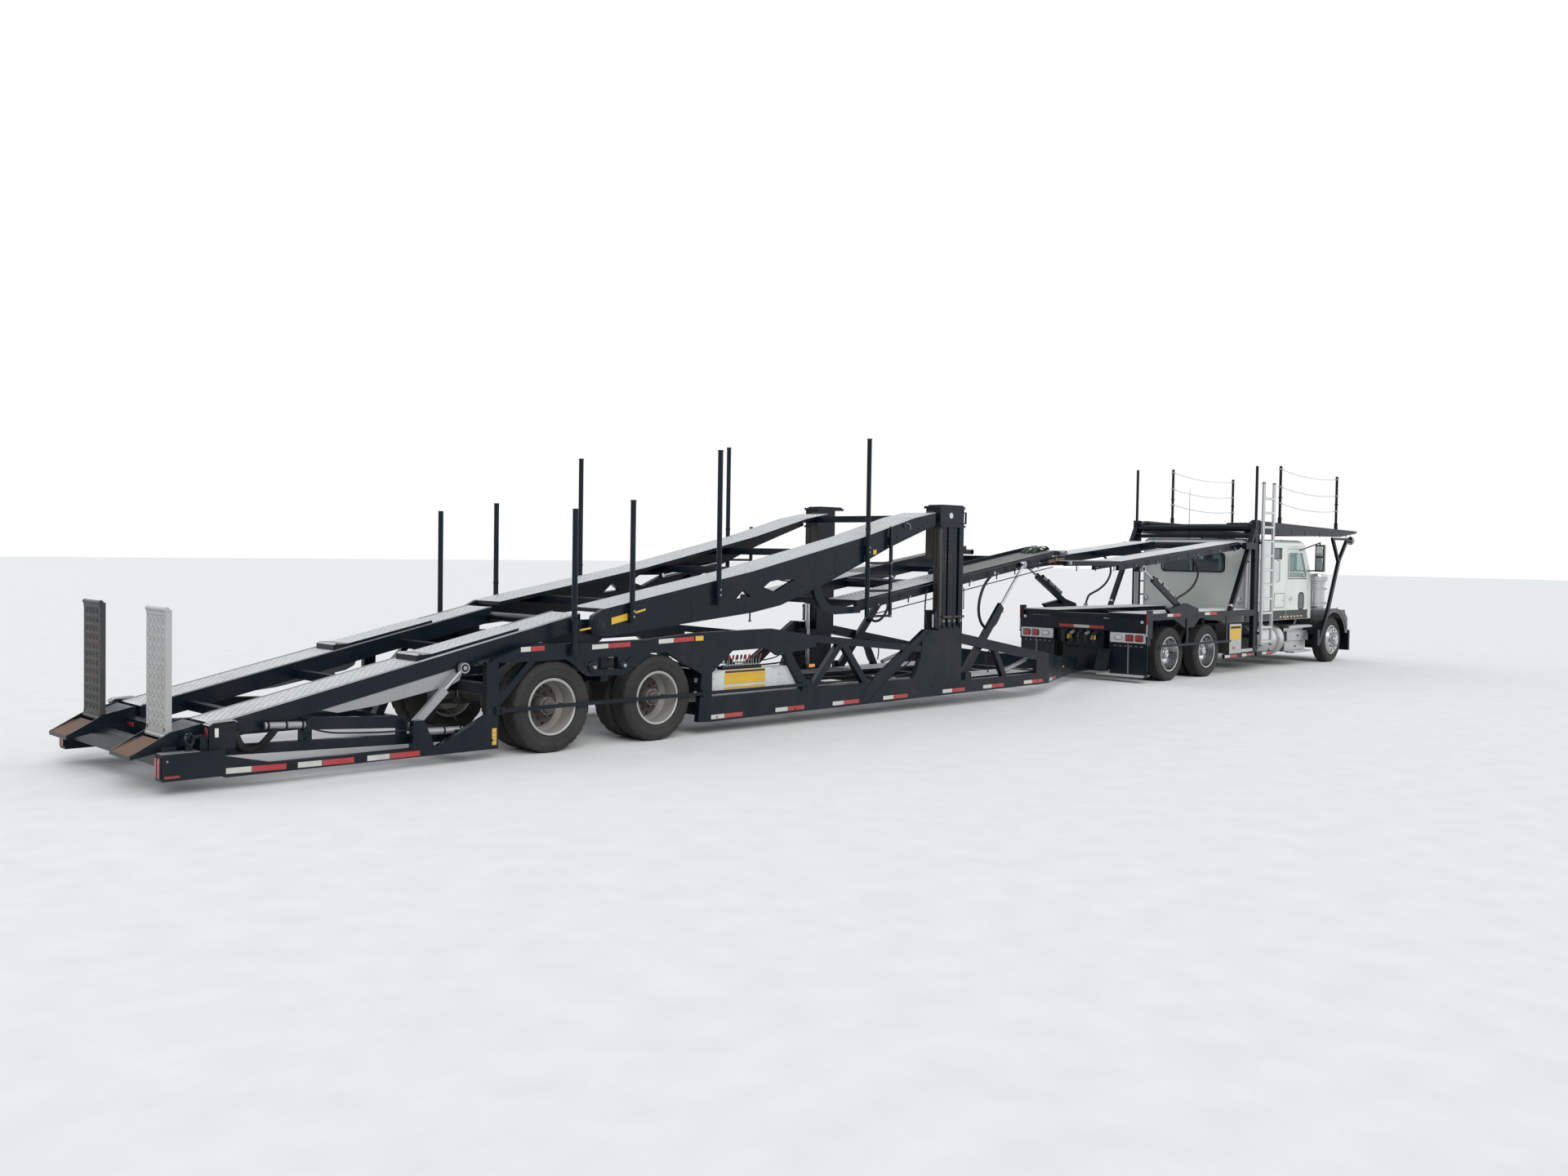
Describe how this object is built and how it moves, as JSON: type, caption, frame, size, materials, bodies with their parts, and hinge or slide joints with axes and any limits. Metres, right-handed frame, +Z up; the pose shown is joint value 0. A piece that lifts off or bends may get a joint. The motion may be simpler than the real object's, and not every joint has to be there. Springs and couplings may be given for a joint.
{
  "type": "car transporter truck with hinged trailer",
  "caption": "Conventional sleeper truck with an over-cab rack, hinged to a low trailer with tilting upper decks, lattice side frames, towers and flip-down rear ramps for carrying cars",
  "frame": {"origin": "middle of the overall box at ground level", "axes": "+X towards the cab, +Y to the driver's left, +Z up"},
  "size_m": [24.87, 2.9, 3.93],
  "materials": {
    "structure_paint": "dark blue-black enamel, chipped and lightly rusted",
    "deck_paint": "dark blue-black enamel, worn on the treads",
    "cab_paint": "off-white gloss, road film",
    "rack_paint": "dark blue-black enamel",
    "tyre_rubber": "worn black rubber",
    "polished_rim": "polished, brake dust",
    "axle_steel": "chassis black over forged steel, oily",
    "engine_iron": "grey casting",
    "rod_chrome": "bright plated rod",
    "bright_metal": "polished sheet",
    "ramp_paint": "silver-grey paint worn to steel",
    "clear_glass": "lightly tinted",
    "cabin_trim": "grey cloth and plastic",
    "box_paint": "white enamel, scuffed",
    "mirror_shell": "black housings with plated arms"
  },
  "bodies": {
    "truck": {"truck_frame": "structure_paint", "truck_axles": "axle_steel", "truck_rear_deck": "deck_paint", "rack_frame": "rack_paint", "cab_shell": "cab_paint", "cab_glass": "clear_glass", "cab_interior": "cabin_trim", "engine": "engine_iron", "front_bumper": "rack_paint", "tanks_and_steps": "bright_metal", "air_cleaners": "bright_metal"},
    "trailer": {"side_frames": "structure_paint", "trailer_floor": "structure_paint", "trailer_axles": "axle_steel", "trailer_nose": "structure_paint", "trailer_towers": "structure_paint", "control_box": "box_paint"},
    "upper_deck_body": {"upper_deck": "deck_paint"},
    "tail_deck_body": {"tail_deck": "deck_paint"},
    "front_deck_body": {"front_deck": "deck_paint"},
    "truck_deck_body": {"truck_upper_deck": "deck_paint"},
    "head_rack_body": {"head_rack": "rack_paint", "rack_cables": "rod_chrome"},
    "bonnet_body": {"bonnet": "cab_paint"},
    "flip_ramp_left_body": {"flip_ramp_left": "ramp_paint"},
    "door_left_body": {"door_left": "cab_paint", "door_glass_left": "clear_glass", "mirror_left": "mirror_shell"},
    "knuckle_left_body": {"knuckle_left": "axle_steel"},
    "steer_wheel_left": {"steer_left_tyre": "tyre_rubber", "steer_left_rim": "polished_rim"},
    "flip_ramp_right_body": {"flip_ramp_right": "ramp_paint"},
    "door_right_body": {"door_right": "cab_paint", "door_glass_right": "clear_glass", "mirror_right": "mirror_shell"},
    "knuckle_right_body": {"knuckle_right": "axle_steel"},
    "steer_wheel_right": {"steer_right_tyre": "tyre_rubber", "steer_right_rim": "polished_rim"},
    "front_lift_barrel_body": {"front_lift_barrels": "structure_paint"},
    "front_lift_rod_body": {"front_lift_rods": "rod_chrome"},
    "truck_lift_barrel_body": {"truck_lift_barrels": "structure_paint"},
    "truck_lift_rod_body": {"truck_lift_rods": "rod_chrome"},
    "tail_lift_barrel_body": {"tail_lift_barrels": "structure_paint"},
    "tail_lift_rod_body": {"tail_lift_rods": "rod_chrome"},
    "trailer_rear_left_wheels": {"trailer_rear_left_tyres": "tyre_rubber", "trailer_rear_left_rims": "polished_rim"},
    "trailer_rear_right_wheels": {"trailer_rear_right_tyres": "tyre_rubber", "trailer_rear_right_rims": "polished_rim"},
    "trailer_front_left_wheels": {"trailer_front_left_tyres": "tyre_rubber", "trailer_front_left_rims": "polished_rim"},
    "trailer_front_right_wheels": {"trailer_front_right_tyres": "tyre_rubber", "trailer_front_right_rims": "polished_rim"},
    "drive_rear_left_wheels": {"drive_rear_left_tyres": "tyre_rubber", "drive_rear_left_rims": "polished_rim"},
    "drive_rear_right_wheels": {"drive_rear_right_tyres": "tyre_rubber", "drive_rear_right_rims": "polished_rim"},
    "drive_front_left_wheels": {"drive_front_left_tyres": "tyre_rubber", "drive_front_left_rims": "polished_rim"},
    "drive_front_right_wheels": {"drive_front_right_tyres": "tyre_rubber", "drive_front_right_rims": "polished_rim"}
  },
  "joints": [
    {"name": "hitch_turn", "type": "hinge", "parent": "truck", "child": "trailer", "pos_m": [3.435, 0, 0.25], "axis": [0, 0, 1], "range_deg": [-40, 40]},
    {"name": "trailer_rear_left_spin", "type": "hinge", "parent": "trailer", "child": "trailer_rear_left_wheels", "pos_m": [-8.315, 0.992, 0.48], "axis": [0, 1, 0], "continuous": true},
    {"name": "trailer_rear_right_spin", "type": "hinge", "parent": "trailer", "child": "trailer_rear_right_wheels", "pos_m": [-8.315, -0.992, 0.48], "axis": [0, 1, 0], "continuous": true},
    {"name": "trailer_front_left_spin", "type": "hinge", "parent": "trailer", "child": "trailer_front_left_wheels", "pos_m": [-6.895, 0.992, 0.48], "axis": [0, 1, 0], "continuous": true},
    {"name": "trailer_front_right_spin", "type": "hinge", "parent": "trailer", "child": "trailer_front_right_wheels", "pos_m": [-6.895, -0.992, 0.48], "axis": [0, 1, 0], "continuous": true},
    {"name": "drive_rear_left_spin", "type": "hinge", "parent": "truck", "child": "drive_rear_left_wheels", "pos_m": [4.545, 0.956, 0.464], "axis": [0, 1, 0], "continuous": true},
    {"name": "drive_rear_right_spin", "type": "hinge", "parent": "truck", "child": "drive_rear_right_wheels", "pos_m": [4.545, -0.956, 0.464], "axis": [0, 1, 0], "continuous": true},
    {"name": "drive_front_left_spin", "type": "hinge", "parent": "truck", "child": "drive_front_left_wheels", "pos_m": [5.865, 0.956, 0.464], "axis": [0, 1, 0], "continuous": true},
    {"name": "drive_front_right_spin", "type": "hinge", "parent": "truck", "child": "drive_front_right_wheels", "pos_m": [5.865, -0.956, 0.464], "axis": [0, 1, 0], "continuous": true},
    {"name": "steer_left", "type": "hinge", "parent": "truck", "child": "knuckle_left_body", "pos_m": [11.345, 0.905, 0.464], "axis": [0, 0, 1], "range_deg": [-35, 35]},
    {"name": "steer_left_spin", "type": "hinge", "parent": "knuckle_left_body", "child": "steer_wheel_left", "pos_m": [11.345, 1.05, 0.464], "axis": [0, 1, 0], "continuous": true},
    {"name": "steer_right", "type": "hinge", "parent": "truck", "child": "knuckle_right_body", "pos_m": [11.345, -0.905, 0.464], "axis": [0, 0, 1], "range_deg": [-35, 35]},
    {"name": "steer_right_spin", "type": "hinge", "parent": "knuckle_right_body", "child": "steer_wheel_right", "pos_m": [11.345, -1.05, 0.464], "axis": [0, 1, 0], "continuous": true},
    {"name": "upper_deck_tilt", "type": "hinge", "parent": "trailer", "child": "upper_deck_body", "pos_m": [-7.745, 0, 1.3], "axis": [0, -1, 0], "range_deg": [-4, 6]},
    {"name": "tail_deck_lift", "type": "hinge", "parent": "trailer", "child": "tail_deck_body", "pos_m": [-7.885, 0, 1.335], "axis": [0, 1, 0], "range_deg": [0, 9]},
    {"name": "front_deck_lift", "type": "hinge", "parent": "trailer", "child": "front_deck_body", "pos_m": [-1.715, 0, 1.69], "axis": [0, -1, 0], "range_deg": [0, 5]},
    {"name": "truck_deck_lower", "type": "hinge", "parent": "truck", "child": "truck_deck_body", "pos_m": [7.245, 0, 2.36], "axis": [0, -1, 0], "range_deg": [0, 7]},
    {"name": "head_rack_raise", "type": "hinge", "parent": "truck", "child": "head_rack_body", "pos_m": [7.615, 0, 2.7], "axis": [0, -1, 0], "range_deg": [0, 6]},
    {"name": "bonnet_tilt", "type": "hinge", "parent": "truck", "child": "bonnet_body", "pos_m": [12.065, 0, 0.6], "axis": [0, 1, 0], "range_deg": [0, 55]},
    {"name": "door_left_open", "type": "hinge", "parent": "truck", "child": "door_left_body", "pos_m": [10.325, 1.09, 1.7], "axis": [0, 0, -1], "range_deg": [0, 65]},
    {"name": "flip_ramp_left_fold", "type": "hinge", "parent": "trailer", "child": "flip_ramp_left_body", "pos_m": [-12.13, 0.8, 0.47], "axis": [0, -1, 0], "range_deg": [0, 105]},
    {"name": "door_right_open", "type": "hinge", "parent": "truck", "child": "door_right_body", "pos_m": [10.325, -1.09, 1.7], "axis": [0, 0, 1], "range_deg": [0, 65]},
    {"name": "flip_ramp_right_fold", "type": "hinge", "parent": "trailer", "child": "flip_ramp_right_body", "pos_m": [-12.13, -0.8, 0.47], "axis": [0, -1, 0], "range_deg": [0, 105]},
    {"name": "front_lift_swing", "type": "hinge", "parent": "trailer", "child": "front_lift_barrel_body", "pos_m": [-1.215, 0, 0.4], "axis": [0, -1, 0], "range_deg": [-2, 5.5]},
    {"name": "front_lift_stroke", "type": "slide", "parent": "front_lift_barrel_body", "child": "front_lift_rod_body", "axis": [0.6764, 0, 0.7366], "range_m": [0, 0.11656]},
    {"name": "truck_lift_swing", "type": "hinge", "parent": "truck", "child": "truck_lift_barrel_body", "pos_m": [4.935, 0, 1.27], "axis": [0, -1, 0], "range_deg": [-2, 18.4]},
    {"name": "truck_lift_stroke", "type": "slide", "parent": "truck_lift_barrel_body", "child": "truck_lift_rod_body", "axis": [-0.8843, 0, 0.4669], "range_m": [-0.23684, 0]},
    {"name": "tail_lift_swing", "type": "hinge", "parent": "trailer", "child": "tail_lift_barrel_body", "pos_m": [-9.875, 0, 0.4], "axis": [0, -1, 0], "range_deg": [-2, 14.9]},
    {"name": "tail_lift_stroke", "type": "slide", "parent": "tail_lift_barrel_body", "child": "tail_lift_rod_body", "axis": [0.7263, 0, 0.6874], "range_m": [0, 0.15115]}
  ],
  "couplings": [
    {"joint": "steer_right", "follows": "steer_left", "ratio": 1},
    {"joint": "front_lift_swing", "follows": "front_deck_lift", "ratio": 0.7062},
    {"joint": "front_lift_stroke", "follows": "front_deck_lift", "m_per_rad": 1.2211},
    {"joint": "truck_lift_swing", "follows": "truck_deck_lower", "ratio": 2.3454},
    {"joint": "truck_lift_stroke", "follows": "truck_deck_lower", "m_per_rad": -1.8567},
    {"joint": "tail_lift_swing", "follows": "tail_deck_lift", "ratio": 1.4383},
    {"joint": "tail_lift_stroke", "follows": "tail_deck_lift", "m_per_rad": 0.8986}
  ]
}
